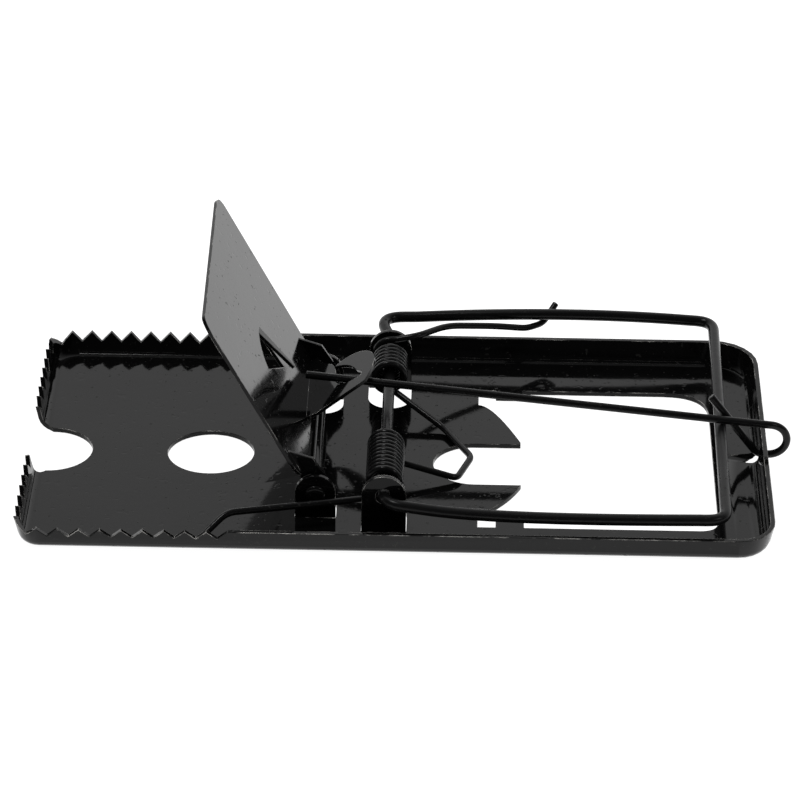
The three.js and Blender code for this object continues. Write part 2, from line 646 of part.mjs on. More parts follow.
// A rectangle of wire whose fourth side is the axle; its ends butt inside the near coil.
function killBar() {
  const bend = BAR_BEND;
  const wide = BAR_FAR_BEND;
  const buttY = NEAR_COIL_START + (NEAR_COIL_TURNS * COIL_PITCH) / 2;
  const nearY = NEAR_AXLE_EAR_Y - SHEET / 2 - RUN_GAP - BAR_WIRE;
  const farY = BAR_FAR_Y - BAR_FAR_TAPER;
  const swungX = AXLE_X - BAR_FAR_SWING;
  const near = new THREE.QuadraticBezierCurve3(
    point(AXLE_X + 2 * bend, nearY - 0.1, AXLE_Z - 0.6),
    point(AXLE_X + NEAR_ARM_BOW[0], nearY - NEAR_ARM_BOW[1], BAR_NEAR_Z - NEAR_ARM_BOW[2]),
    point(CROSS_X - 1.5 * bend, BAR_NEAR_Y, BAR_NEAR_Z),
  );
  const far = new THREE.QuadraticBezierCurve3(
    point(CROSS_X + BAR_SKEW - 1.5 * bend, BAR_FAR_Y - 0.1, BAR_FAR_Z + 0.25),
    point(AXLE_X + FAR_ARM_BOW[0], farY + FAR_ARM_BOW[1], AXLE_Z + FAR_ARM_BOW[2]),
    point(swungX + 1.5 * wide, farY, AXLE_Z + 0.2),
  );
  const route = [
    [point(AXLE_X, buttY, AXLE_Z), 0],
    [point(AXLE_X, nearY, AXLE_Z), bend],
    ...near.getPoints(ARM_STEPS).map((p) => [p, 0]),
    [point(CROSS_X, BAR_NEAR_Y, BAR_NEAR_Z), bend],
    [point(CROSS_X + BAR_SKEW, BAR_FAR_Y, BAR_FAR_Z), bend],
    ...far.getPoints(ARM_STEPS).map((p) => [p, 0]),
    [point(swungX, farY, AXLE_Z + 0.1), wide],
    [point(AXLE_X, FAR_AXLE_EAR_Y + SHEET + bend, AXLE_Z), bend / 2],
    [point(AXLE_X, buttY + RUN_GAP, AXLE_Z), 0],
  ];
  const corners = route.map(([corner]) => corner);
  const bends = route.map(([, reach]) => reach);
  return lacquer("kill_bar", wire(bent(corners, bends), BAR_WIRE, 10), 0x101011, 0.2);
}

// ---------- springs ----------

// Points round the axle from one angle to another, in degrees from +X towards +Z, advancing along Y.
function coil(startY, pitch, from, to) {
  const turns = (to - from) / 360;
  const steps = Math.round(Math.abs(turns) * COIL_STEPS);
  const points = [];
  for (let i = 0; i <= steps; i++) {
    const angle = radians(from + ((to - from) * i) / steps);
    const y = startY + (pitch * Math.abs(turns) * i) / steps;
    points.push(point(AXLE_X + COIL_RADIUS * Math.cos(angle), y, AXLE_Z + COIL_RADIUS * Math.sin(angle)));
  }
  return points;
}

// One wire: the near leg, the near coil, the loop that bears on the tray's tongues, the far coil.
function torsionSpring() {
  const under = -90;
  const bottom = AXLE_Z - COIL_RADIUS;
  const laid = FLOOR + SPRING_WIRE / 2 + REST_GAP;
  const tipX = PIN_X - NEAR_LEG_TIP;
  const leg = bent(
    [
      point(tipX, REST_GAP - SIDE_Y, FLOOR + 1.3),
      point(tipX + NEAR_LEG_BEND, 0.9 * NEAR_LEG_BEND - SIDE_Y, FLOOR + 3.4),
      point(AXLE_X - 1, NEAR_COIL_START, bottom - 0.02),
    ],
    [0, 1.2, 0],
    4,
  );
  const nearCoil = coil(NEAR_COIL_START, COIL_PITCH, under, under + 360 * NEAR_COIL_TURNS - 20);
  const loop = bent(
    [
      nearCoil[nearCoil.length - 1],
      point(SLOT_LEFT + 3.2, SLOT_Y - SLOT_WIDTH / 2 + 0.5, laid),
      point(SLOT_LEFT + 5.1, SLOT_Y + 0.8, laid),
      point(SLOT_LEFT + 1.5, SLOT_Y + SLOT_WIDTH / 2 + 2.8, laid),
      point(AXLE_X + 1, FAR_COIL_START, bottom + 0.2),
    ],
    [0, 0.7, 0.7, 0.9, 0],
    3,
  );
  const farCoil = coil(FAR_COIL_START, COIL_PITCH * FAR_COIL_SHARE, under + 20, under - 360 * (FAR_COIL_TURNS - 1));
  const line = [...leg, ...nearCoil.slice(1), ...loop.slice(1, -1), ...farCoil];
  return lacquer("torsion_spring", wire(line, SPRING_WIRE), 0x141414, 0.22);
}

// The far coil's last half turn and its leg, which bears on the kill bar from below and turns with it.
function springBarLeg() {
  const halfTurn = coil(BAR_LEG_START, COIL_PITCH, -100, -262);
  const run = BAR_LEG_RUN.map((x) => AXLE_X + x);
  const hug = BAR_LEG_HUG.map((y) => BAR_FAR_Y - y);
  const underBar = AXLE_Z + 0.475 - (BAR_WIRE + SPRING_WIRE) / 2;
  const top = AXLE_Z + COIL_RADIUS;
  const leg = bent(
    [
      point(AXLE_X + 0.8, BAR_LEG_START + LEG_ADVANCE, top),
      point(run[0], BAR_LEG_START + 0.6, top + 0.6),
      point(run[1], hug[0], top),
      point(run[2], hug[1], underBar + 1.3),
      point(run[3], hug[2], underBar + 0.2),
      point(run[4], hug[3], underBar),
      point(run[5], hug[4], underBar + 2.1),
    ],
    [0, 1.2, 2, 2, 0.9, 0.9, 0],
    3,
  );
  return lacquer("spring_bar_leg", wire([...halfTurn, ...leg], SPRING_WIRE), 0x141414, 0.22);
}

// ---------- hold-down rod ----------

// Tip, arm lying on the crosspiece, hairpin, then in through the wall and up as the tail.
function holdDownRod() {
  const endX = END_X + ROD_END_OVERHANG;
  const tilt = radians(TREADLE_TILT);
  const [slotOut, slotAlong] = HOOK_OPENING;
  const hookX = PIN_X + slotOut * Math.cos(tilt) - FLANGE_LEVEL * Math.sin(tilt);
  const hookY = PUNCH_Y + slotAlong;
  const hookZ = PIN_Z + slotOut * Math.sin(tilt) + FLANGE_LEVEL * Math.cos(tilt);
  const side = (hookY - ROD_END_Y) / (endX - hookX);
  const crossY = ROD_END_Y + side * (endX - CROSS_X);
  const share = (crossY - BAR_NEAR_Y) / (BAR_FAR_Y - BAR_NEAR_Y);
  const restZ = BAR_NEAR_Z + share * (BAR_FAR_Z - BAR_NEAR_Z) + BAR_TO_ROD;
  const rise = (hookZ - restZ) / (CROSS_X - hookX);
  const endZ = restZ - rise * (endX - CROSS_X);
  const alongArm = (distance) =>
    point(endX - distance, ROD_END_Y + side * distance, endZ + rise * distance);
  const length = endX - PIN_X + ROD_PAST_PIN;
  const lowZ = FLOOR + ROD_HOLE_HEIGHT;
  const hairpin = (endZ - lowZ) / 2;
  const turnX = endX - 0.2;
  const points = [alongArm(length), alongArm(length / 2), alongArm(0.1 * length), alongArm(0)];
  const turnSteps = 7;
  for (let i = 1; i < turnSteps; i++) {
    const angle = (Math.PI * i) / turnSteps;
    const y = THREE.MathUtils.lerp(ROD_END_Y, ROD_HOLE_Y, i / turnSteps);
    points.push(point(turnX + hairpin * Math.sin(angle), y, lowZ + hairpin * (1 + Math.cos(angle))));
  }
  const foot = END_X + 0.2;
  const toCrossX = foot - CROSS_X - share * BAR_SKEW;
  const toCrossZ = restZ - BAR_TO_ROD - lowZ;
  const clear = Math.asin(BAR_TO_ROD / Math.hypot(toCrossX, toCrossZ));
  const tail = Math.atan2(toCrossZ, toCrossX) + clear;
  const bend = bent(
    [
      point(turnX, ROD_HOLE_Y, lowZ),
      point(foot, ROD_HOLE_Y, lowZ),
      point(
        foot - TAIL_LENGTH * Math.cos(tail),
        ROD_HOLE_Y + TAIL_SIDE,
        lowZ + TAIL_LENGTH * Math.sin(tail),
      ),
    ],
    [0, 0.9, 0],
    4,
  );
  points.push(...bend);
  return lacquer("hold_down_rod", wire(points, ROD_WIRE), 0x121212, 0.2);
}

// ---------- assembly ----------

const trap = new THREE.Group();
trap.add(baseTray(), treadlePin(), treadle(), killBar(), torsionSpring(), springBarLeg(), holdDownRod());

export default trap;
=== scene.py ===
import math

import bmesh
import bpy
import numpy as np
from mathutils import Matrix, Vector


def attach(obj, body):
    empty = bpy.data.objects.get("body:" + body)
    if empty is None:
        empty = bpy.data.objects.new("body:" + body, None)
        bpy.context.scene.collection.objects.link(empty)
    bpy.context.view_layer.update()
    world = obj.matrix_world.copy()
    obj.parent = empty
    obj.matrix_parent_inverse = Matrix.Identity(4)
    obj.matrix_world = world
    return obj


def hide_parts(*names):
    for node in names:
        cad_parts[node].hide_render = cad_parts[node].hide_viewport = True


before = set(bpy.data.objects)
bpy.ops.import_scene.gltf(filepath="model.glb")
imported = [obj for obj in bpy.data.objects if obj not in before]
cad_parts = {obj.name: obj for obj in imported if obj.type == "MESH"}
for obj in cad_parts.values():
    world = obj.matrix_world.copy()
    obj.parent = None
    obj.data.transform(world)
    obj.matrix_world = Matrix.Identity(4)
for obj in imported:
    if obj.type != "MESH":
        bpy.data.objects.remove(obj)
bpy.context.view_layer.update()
scene = bpy.context.scene
MM = 0.001

# ---------------------------------------------------------------------------
# base_tray: one pressing of 0.6 mm steel sheet, with low leaning walls, a saw-toothed rim at
# the bait end and four lanced ears. It is dipped in black gloss lacquer, which wears off the
# teeth and gathers dust specks on the floor.
# ---------------------------------------------------------------------------

SHEET = 0.6
MERGE_GAP = 0.002 * MM
FOLD_ANGLE = math.radians(34)
FLAT_ANGLE = math.radians(3)
BROAD_FACE = 4.0 * MM**2

GLOSS_BLACK = (0.0035, 0.0035, 0.0036)
BARE_STEEL = (0.46, 0.45, 0.43)
GREY_DUST = (0.035, 0.034, 0.032)
LACQUER_IOR = 1.25
RUB_GRAIN, CHIP_GRAIN, DUST_GRAIN, PIT_GRAIN = 420, 260, 1500, 950
GLOSS_GRAIN, PEEL_GRAIN, WAVE_GRAIN = 70, 620, 38
SCRATCH_GRAIN, PATCH_GRAIN = 2600, 55
CHIP_STRENGTH, SCRATCH_STRENGTH = 0.75, 0.55
METAL_SHARE, DUST_COVER = 0.9, 0.35
SHINIEST, DULLEST = 0.75, 1.35
BARE_DULLNESS, DUST_DULLNESS = 0.3, 0.45
SKIN_DEPTH = 0.02 * MM
PIT_HEIGHT, WAVE_HEIGHT, DUST_HEIGHT = -0.35, 14.0, 0.1
MIX_FIRST, MIX_SECOND, MIX_RESULT = 6, 7, 2


def pressed_copy(node, name):
    """A merged copy of a CAD node's mesh: coincident corners are joined, and an edge stays sharp
    where its faces meet at more than the fold angle, or at more than a hair beside a broad one."""
    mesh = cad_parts[node].data.copy()
    work = bmesh.new()
    work.from_mesh(mesh)
    bmesh.ops.remove_doubles(work, verts=work.verts, dist=MERGE_GAP)
    for face in work.faces:
        face.smooth = True
    for edge in work.edges:
        broad = max((face.calc_area() for face in edge.link_faces), default=0) > BROAD_FACE
        crisp = FLAT_ANGLE if broad else FOLD_ANGLE
        edge.smooth = len(edge.link_faces) == 2 and edge.calc_face_angle(0.0) < crisp
    clean = bpy.data.meshes.new(name)
    work.to_mesh(clean)
    work.free()
    piece = bpy.data.objects.new(name, clean)
    scene.collection.objects.link(piece)
    return piece


def black_lacquer(name, base, rough, specks, wear, peel, edge, scratches=()):
    """Black stoving lacquer on steel. Fine noise gives the skin its orange peel, a second noise
    varies the gloss, two speckle fields leave pits and dust, and a mask taken from how far the
    rounded normal turns away from the flat one bares the steel along worn edges. A grain is a
    noise's scale, in grains to a metre, edge is the rounding in millimetres, and each set of
    scratches is an angle in radians and how slender they are."""
    material = bpy.data.materials.new(name)
    material.use_nodes = True
    tree = material.node_tree
    nodes, links = tree.nodes, tree.links
    skin = nodes["Principled BSDF"]
    skin.inputs["IOR"].default_value = LACQUER_IOR
    where = nodes.new("ShaderNodeTexCoord").outputs["Object"]

    def noise(grain, detail=3.0, rough_share=0.55, stretch=None, turn=(0, 0, 0)):
        """A noise about one half, on Object coordinates that are turned and stretched if asked."""
        texture = nodes.new("ShaderNodeTexNoise")
        texture.inputs["Scale"].default_value = grain
        texture.inputs["Detail"].default_value = detail
        texture.inputs["Roughness"].default_value = rough_share
        if stretch:
            mapping = nodes.new("ShaderNodeMapping")
            mapping.inputs["Scale"].default_value = stretch
            mapping.inputs["Rotation"].default_value = turn
            links.new(where, mapping.inputs["Vector"])
            links.new(mapping.outputs["Vector"], texture.inputs["Vector"])
        else:
            links.new(where, texture.inputs["Vector"])
        return texture.outputs["Fac"]

    def ramp(value, low, high, out_low=0.0, out_high=1.0):
        """A straight line from (low, out_low) to (high, out_high), held level outside them."""
        node = nodes.new("ShaderNodeMapRange")
        node.inputs["From Min"].default_value = low
        node.inputs["From Max"].default_value = high
        node.inputs["To Min"].default_value = out_low
        node.inputs["To Max"].default_value = out_high
        links.new(value, node.inputs["Value"])
        return node.outputs["Result"]

    def maths(kind, first, second):
        """One step of arithmetic on two values, each a number or another node's output."""
        node = nodes.new("ShaderNodeMath")
        node.operation = kind
        for socket, value in zip(node.inputs, (first, second)):
            if isinstance(value, (int, float)):
                socket.default_value = value
            else:
                links.new(value, socket)
        return node.outputs["Value"]

    # The cosine between the rounded normal and the true one falls below 1 along an edge. Noise
    # breaks the worn line up.
    bevel = nodes.new("ShaderNodeBevel")
    bevel.samples = 6
    bevel.inputs["Radius"].default_value = edge * MM
    true_normal = nodes.new("ShaderNodeNewGeometry").outputs["Normal"]
    turned = nodes.new("ShaderNodeVectorMath")
    turned.operation = "DOT_PRODUCT"
    links.new(bevel.outputs["Normal"], turned.inputs[0])
    links.new(true_normal, turned.inputs[1])
    on_edge = ramp(turned.outputs["Value"], 0.995, 0.93)
    rubbed = ramp(noise(RUB_GRAIN, 4.0), 0.62 - 0.22 * wear, 0.74 - 0.2 * wear)
    bare = maths("MULTIPLY", on_edge, rubbed)

    # Dust and pits are the peaks and the hollows of two fine fields, and chips the peaks of a
    # coarser one.
    dust = ramp(noise(DUST_GRAIN, 1.0, 0.4), 0.74 - 0.06 * specks, 0.79 - 0.05 * specks)
    pits = ramp(noise(PIT_GRAIN, 1.5, 0.5), 0.30 + 0.04 * specks, 0.25 + 0.03 * specks)
    chips = ramp(noise(CHIP_GRAIN, 5.0, 0.75), 0.79 - 0.05 * wear, 0.80 - 0.05 * wear)
    marks = maths("MAXIMUM", bare, maths("MULTIPLY", chips, CHIP_STRENGTH))

    # Scratches are noise drawn out along one direction, and show only in patches.
    streaks = None
    for angle, slenderness in scratches:
        lengthwise = SCRATCH_GRAIN / slenderness
        stretch = (SCRATCH_GRAIN, lengthwise, lengthwise)
        fine = noise(2.0, 2.0, 0.4, stretch, (0, 0, angle))
        line = ramp(fine, 0.79, 0.83, 0.0, SCRATCH_STRENGTH)
        streaks = line if streaks is None else maths("MAXIMUM", streaks, line)
    if streaks is not None:
        patches = ramp(noise(PATCH_GRAIN, 2.0), 0.52, 0.6)
        marks = maths("MAXIMUM", marks, maths("MULTIPLY", streaks, patches))

    colour = nodes.new("ShaderNodeMix")
    colour.data_type = "RGBA"
    colour.inputs[MIX_FIRST].default_value = (*base, 1)
    colour.inputs[MIX_SECOND].default_value = (*BARE_STEEL, 1)
    links.new(marks, colour.inputs["Factor"])
    dusted = nodes.new("ShaderNodeMix")
    dusted.data_type = "RGBA"
    dusted.inputs[MIX_SECOND].default_value = (*GREY_DUST, 1)
    links.new(maths("MULTIPLY", dust, DUST_COVER), dusted.inputs["Factor"])
    links.new(colour.outputs[MIX_RESULT], dusted.inputs[MIX_FIRST])
    links.new(dusted.outputs[MIX_RESULT], skin.inputs["Base Color"])
    links.new(maths("MULTIPLY", marks, METAL_SHARE), skin.inputs["Metallic"])
    gloss = ramp(noise(GLOSS_GRAIN), 0.35, 0.7, rough * SHINIEST, rough * DULLEST)
    dull_steel = maths("MULTIPLY", marks, BARE_DULLNESS)
    dull_dust = maths("MULTIPLY", dust, DUST_DULLNESS)
    duller = maths("MAXIMUM", dull_steel, dull_dust)
    links.new(maths("ADD", gloss, duller), skin.inputs["Roughness"])

    # Height in skin depths: fine peel, pits, the slow waves of the sheet, and dust on top.
    height = maths("MULTIPLY", noise(PEEL_GRAIN, 2.0), peel)
    height = maths("ADD", height, maths("MULTIPLY", pits, PIT_HEIGHT))
    height = maths("ADD", height, maths("MULTIPLY", noise(WAVE_GRAIN, 2.0), WAVE_HEIGHT * peel))
    height = maths("ADD", height, maths("MULTIPLY", dust, DUST_HEIGHT))
    bump = nodes.new("ShaderNodeBump")
    bump.inputs["Distance"].default_value = SKIN_DEPTH
    bump.inputs["Strength"].default_value = 1.0
    links.new(height, bump.inputs["Height"])
    links.new(bevel.outputs["Normal"], bump.inputs["Normal"])
    links.new(bump.outputs["Normal"], skin.inputs["Normal"])
    return material


tray = pressed_copy("base_tray", "tray")
tray.data.materials.append(
    black_lacquer(
        "tray_gloss_lacquer",
        base=GLOSS_BLACK,
        rough=0.07,
        specks=0.8,
        wear=0.75,
        peel=0.25,
        edge=0.16,
        scratches=((0.5, 24), (-0.35, 30)),
    )
)
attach(tray, "tray")
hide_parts("base_tray")

# ---------------------------------------------------------------------------
# treadle_pin: a 1.2 mm steel pin through the two low ears, upset into a round head outside
# each of them and lacquered with the tray.
# ---------------------------------------------------------------------------

PIN_X, PIN_Y, PIN_Z = -10.4, -1.2, 4.2
PIN_RADIUS = 0.6
PIN_HEAD_RADIUS = 1.3
PIN_HEAD_DEPTH = 0.45
PIN_EAR_REACH = 16.7
HEAD_GAP = 0.15
PIN_HALF = PIN_EAR_REACH + SHEET / 2 + HEAD_GAP


def make_mesh_object(name, vertices, quads, fans=()):
    """A smooth mesh from whole arrays of vertices (in millimetres), quads and triangle fans."""
    mesh = bpy.data.meshes.new(name)
    faces = quads.tolist()
    for fan in fans:
        faces += fan.tolist()
    mesh.from_pydata((vertices * MM).tolist(), [], faces)
    mesh.polygons.foreach_set("use_smooth", np.ones(len(mesh.polygons), dtype=bool))
    mesh.update()
    piece = bpy.data.objects.new(name, mesh)
    scene.collection.objects.link(piece)
    return piece


def grid_quads(rings, sides):
    """Quads between neighbouring rings of a closed section, wound to face outwards."""
    row, column = np.meshgrid(np.arange(rings - 1), np.arange(sides), indexing="ij")
    here = row * sides + column
    beside = row * sides + (column + 1) % sides
    return np.stack([here, beside, beside + sides, here + sides], axis=-1).reshape(-1, 4)


def end_fans(rings, sides):
    """Triangles from the pole before the first ring and the pole after the last one."""
    around = np.arange(sides)
    after = (around + 1) % sides
    first_pole = np.full(sides, rings * sides)
    last_pole = first_pole + 1
    last = (rings - 1) * sides
    return (
        np.stack([first_pole, after, around], axis=-1),
        np.stack([last_pole, last + around, last + after], axis=-1),
    )


def turned_pin(name, sides=40):
    """A surface of revolution about the pin's own line along Y: radius(v) follows the shank, and
    at each end a head whose rim is a quarter of a superellipse that closes on the line."""
    rim_power, dome_power = 0.55, 0.8
    bend = np.linspace(0, np.pi / 2, 14)
    dome_r = PIN_HEAD_RADIUS * np.cos(bend) ** rim_power
    dome_y = PIN_HEAD_DEPTH * np.sin(bend) ** dome_power
    near_y = -PIN_HALF - dome_y[::-1][1:]
    near_r = dome_r[::-1][1:]
    under_head, beside_head = PIN_HALF - np.array([0.02, 0.04])
    shank_y = np.array([-under_head, -beside_head, beside_head, under_head])
    shank_r = np.full(len(shank_y), PIN_RADIUS)
    along = np.concatenate([near_y, shank_y, PIN_HALF + dome_y[:-1]])
    radius = np.concatenate([near_r, shank_r, dome_r[:-1]])
    angle = np.linspace(0, 2 * np.pi, sides, endpoint=False)
    x = PIN_X + radius[:, None] * np.sin(angle)
    z = PIN_Z + radius[:, None] * np.cos(angle)
    y = np.broadcast_to(PIN_Y + along[:, None], x.shape)
    rings = np.stack([x, y, z], axis=-1).reshape(-1, 3)
    poles = np.array(
        [
            [PIN_X, PIN_Y - PIN_HALF - PIN_HEAD_DEPTH, PIN_Z],
            [PIN_X, PIN_Y + PIN_HALF + PIN_HEAD_DEPTH, PIN_Z],
        ]
    )
    return make_mesh_object(
        name,
        np.concatenate([rings, poles]),
        grid_quads(len(along), sides),
        end_fans(len(along), sides),
    )


pin = turned_pin("hinge_pin")
pin.data.materials.append(
    black_lacquer(
        "pin_lacquer_worn",
        base=(0.005, 0.005, 0.005),
        rough=0.14,
        specks=0.4,
        wear=0.5,
        peel=0.4,
        edge=0.05,
    )
)
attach(pin, "tray")
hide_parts("treadle_pin")

# ---------------------------------------------------------------------------
# treadle: a plate of thin steel sheet with a bait spike pushed out of it, two side lugs that
# turn on the pin and a hooked flange folded out at its foot. Lacquered black, and worn at its
# edges.
# ---------------------------------------------------------------------------

plate = pressed_copy("treadle", "treadle_plate")
plate.data.materials.append(
    black_lacquer(
        "treadle_gloss_lacquer",
        base=GLOSS_BLACK,
        rough=0.09,
        specks=0.5,
        wear=0.5,
        peel=0.2,
        edge=0.12,
    )
)
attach(plate, "treadle")
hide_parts("treadle")

# ---------------------------------------------------------------------------
# kill_bar: a frame of 1.55 mm steel wire. One side is the axle, whose two ends butt inside
# the near coil; the other three are the arms and the crosspiece. Bent cold, then lacquered.
# ---------------------------------------------------------------------------

BAR_DIAMETER = 1.55
AXLE_X, AXLE_Z = -1.4, 5.95
AXLE_EAR_REACH = 20.2
BAR_SPAN = 44.2
CROSS_X = AXLE_X + BAR_SPAN
CROSS_NEAR_Y, CROSS_NEAR_Z = -24.6, 4.95
CROSS_FAR_Y, CROSS_FAR_Z = 29, 5.85
CROSS_SKEW = 0.5
FAR_SWING = 1.9
BAR_BEND, WIDE_BEND = 2.4, 3.6
RIM_SHARE = 0.14
WIRE_BLACK = (0.006, 0.006, 0.0062)
NEAR_COIL_Y = -18.4
NEAR_COIL_TURNS = 11
COIL_PITCH = 0.98


def rounded_line(corners, reaches, steps=14):
    """A line of corners with each inner one replaced by a quadratic curve that leaves the line
    its reach before the corner and joins it again the same reach after."""
    corners = np.asarray(corners, float)
    parts = [corners[:1]]
    t = np.linspace(0, 1, steps)[:, None]
    for before, corner, after, reach in zip(corners, corners[1:], corners[2:], reaches[1:]):
        if reach == 0:
            parts.append(corner[None])
            continue
        start = corner + (before - corner) / np.linalg.norm(before - corner) * reach
        end = corner + (after - corner) / np.linalg.norm(after - corner) * reach
        parts.append((1 - t) ** 2 * start + 2 * t * (1 - t) * corner + t**2 * end)
    parts.append(corners[-1:])
    return np.concatenate(parts)


def bow(start, control, end, steps=24):
    """A quadratic curve from start to end that leans towards control."""
    t = np.linspace(0, 1, steps)[:, None]
    start, control, end = (np.asarray(p, float) for p in (start, control, end))
    return (1 - t) ** 2 * start + 2 * t * (1 - t) * control + t**2 * end


def drawn_wire(name, line, diameter, upright, step, sides, soften):
    """A round section carried along a line. The line is cut into equal steps and softened with a
    short running mean, except near its ends; at each station the section stands across the
    line's direction, turned by the direction's cross product with the upright. The ends are cut
    square with a rubbed rim, a quarter of a circle."""
    rim = RIM_SHARE * diameter
    gaps = np.linalg.norm(np.diff(line, axis=0), axis=1)
    line = line[np.concatenate([[True], gaps > 1e-6])]
    gaps = np.linalg.norm(np.diff(line, axis=0), axis=1)
    along = np.concatenate([[0], np.cumsum(gaps)])
    length = along[-1]

    inner = np.linspace(rim, length - rim, max(4, int((length - 2 * rim) / step)))
    quarter = rim * (1 - np.cos(np.linspace(0.25, np.pi / 2, 5)[:-1]))
    places = np.unique(np.round(np.concatenate([quarter, inner, length - quarter]), 6))
    centre = np.stack([np.interp(places, along, axis) for axis in line.T], axis=-1)
    margin = soften // 2
    padded = np.pad(centre, ((margin, margin), (0, 0)), mode="edge")
    window = np.ones(soften) / soften
    mean = np.stack([np.convolve(axis, window, mode="valid") for axis in padded.T], axis=-1)
    held = 3 * step
    softened = (places > held) & (places < length - held)
    centre = np.where(softened[:, None], mean, centre)

    heading = np.gradient(centre, places, axis=0)
    heading /= np.linalg.norm(heading, axis=1, keepdims=True)
    across = np.cross(heading, np.asarray(upright, float))
    across /= np.linalg.norm(across, axis=1, keepdims=True)
    third = np.cross(heading, across)
    from_end = np.minimum(places, length - places)
    shrink = np.clip(1 - from_end / rim, 0, 1)
    radius = diameter / 2 - rim * (1 - np.sqrt(1 - shrink**2))
    angle = np.linspace(0, 2 * np.pi, sides, endpoint=False)
    ring = across[:, None] * np.cos(angle)[:, None] + third[:, None] * np.sin(angle)[:, None]
    vertices = (centre[:, None] + ring * radius[:, None, None]).reshape(-1, 3)
    poles = centre[[0, -1]]
    return make_mesh_object(
        name,
        np.concatenate([vertices, poles]),
        grid_quads(len(centre), sides),
        end_fans(len(centre), sides),
    )


def bar_line():
    """The bar's centre line: butt, near bend, bowed near arm, crosspiece, bowed far arm, the wide
    bend that swings out to the left, and the axle back to the butt."""
    butt_y = NEAR_COIL_Y + NEAR_COIL_TURNS * COIL_PITCH / 2
    butt_gap = 0.3
    near_y = PIN_Y - AXLE_EAR_REACH - SHEET - BAR_DIAMETER
    far_y = CROSS_FAR_Y - 0.6
    swung_x = AXLE_X - FAR_SWING
    far_x = CROSS_X + CROSS_SKEW
    # Each arm leans between its two bends towards the middle one of three points.
    near = bow(
        (AXLE_X + 2 * BAR_BEND, near_y - 0.1, AXLE_Z - 0.6),
        (AXLE_X + 14, near_y - 0.6, CROSS_NEAR_Z - 0.8),
        (CROSS_X - 1.5 * BAR_BEND, CROSS_NEAR_Y, CROSS_NEAR_Z),
    )
    far = bow(
        (far_x - 1.5 * BAR_BEND, CROSS_FAR_Y - 0.1, CROSS_FAR_Z + 0.25),
        (AXLE_X + 24, far_y + 0.2, AXLE_Z + 1.5),
        (swung_x + 1.5 * WIDE_BEND, far_y, AXLE_Z + 0.2),
    )
    corners = [
        (AXLE_X, butt_y, AXLE_Z),
        (AXLE_X, near_y, AXLE_Z),
        *near,
        (CROSS_X, CROSS_NEAR_Y, CROSS_NEAR_Z),
        (far_x, CROSS_FAR_Y, CROSS_FAR_Z),
        *far,
        (swung_x, far_y, AXLE_Z + 0.1),
        (AXLE_X, PIN_Y + AXLE_EAR_REACH + SHEET + BAR_BEND, AXLE_Z),
        (AXLE_X, butt_y + butt_gap, AXLE_Z),
    ]
    reaches = [0, BAR_BEND, *[0] * len(near), BAR_BEND, BAR_BEND]
    reaches += [*[0] * len(far), WIDE_BEND, BAR_BEND / 2, 0]
    return rounded_line(corners, reaches)


bar = drawn_wire("spring_bar", bar_line(), BAR_DIAMETER, (0, 0, 1), step=0.3, sides=28, soften=5)
bar.data.materials.append(
    black_lacquer(
        "bar_lacquer_worn",
        base=WIRE_BLACK,
        rough=0.26,
        specks=0.6,
        wear=0.25,
        peel=0.8,
        edge=0.05,
    )
)
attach(bar, "kill_bar")
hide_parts("kill_bar")

# ---------------------------------------------------------------------------
# torsion_spring: 0.9 mm spring wire wound in two coils on the axle, with a loop between them
# that bears on the tray's tongues. Its near leg ends free inside the near wall.
# ---------------------------------------------------------------------------

SPRING_DIAMETER = 0.9
COIL_RADIUS = 2.05
FAR_COIL_Y = 10.47
FAR_COIL_TURNS = 6
NEAR_WALL_Y = -25.9
WIRE_GAP = 0.15
COIL_UPRIGHT = (0, 0.9, 0.43)


def coil_line(start_y, pitch, start, end, per_turn=40):
    """A helix about the axle from one angle to another, in degrees from +X towards +Z, that
    moves one pitch along Y for each turn."""
    turns = abs(end - start) / 360
    share = np.linspace(0, 1, int(turns * per_turn) + 2)
    angle = np.radians(start + (end - start) * share)
    return np.stack(
        [
            AXLE_X + COIL_RADIUS * np.cos(angle),
            start_y + pitch * turns * share,
            AXLE_Z + COIL_RADIUS * np.sin(angle),
        ],
        axis=-1,
    )


def spring_line():
    """Near leg, near coil, middle loop and far coil as one line. The points are the bends of the
    leg, which starts against the near wall, and of the loop, which lies on the tray's floor."""
    bottom = AXLE_Z - COIL_RADIUS
    laid_z = SHEET + SPRING_DIAMETER / 2 + WIRE_GAP
    leg = rounded_line(
        [
            (-24.7, NEAR_WALL_Y + 0.15, 1.9),
            (-21.7, NEAR_WALL_Y + 2.7, 4.0),
            (-2.4, NEAR_COIL_Y, bottom - 0.02),
        ],
        [0, 1.2, 0],
    )
    near_coil = coil_line(NEAR_COIL_Y, COIL_PITCH, -90, -90 + 360 * NEAR_COIL_TURNS - 20)
    loop = rounded_line(
        [
            near_coil[-1],
            (8.0, -8.2, laid_z),
            (9.9, -2.4, laid_z),
            (6.3, 5.1, laid_z),
            (-0.4, FAR_COIL_Y, bottom + 0.2),
        ],
        [0, 0.9, 0.9, 1.1, 0],
    )
    far_coil = coil_line(FAR_COIL_Y, COIL_PITCH * 0.97, -70, -90 - 360 * FAR_COIL_TURNS)
    return np.concatenate([leg, near_coil[1:], loop[1:-1], far_coil])


spring = drawn_wire(
    "coil_spring", spring_line(), SPRING_DIAMETER, COIL_UPRIGHT, step=0.2, sides=18, soften=3
)
SPRING_LACQUER = black_lacquer(
    "spring_lacquer_worn",
    base=(0.007, 0.007, 0.0072),
    rough=0.2,
    specks=0.5,
    wear=0.25,
    peel=0.5,
    edge=0.04,
)
spring.data.materials.append(SPRING_LACQUER)
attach(spring, "tray")
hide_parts("torsion_spring")

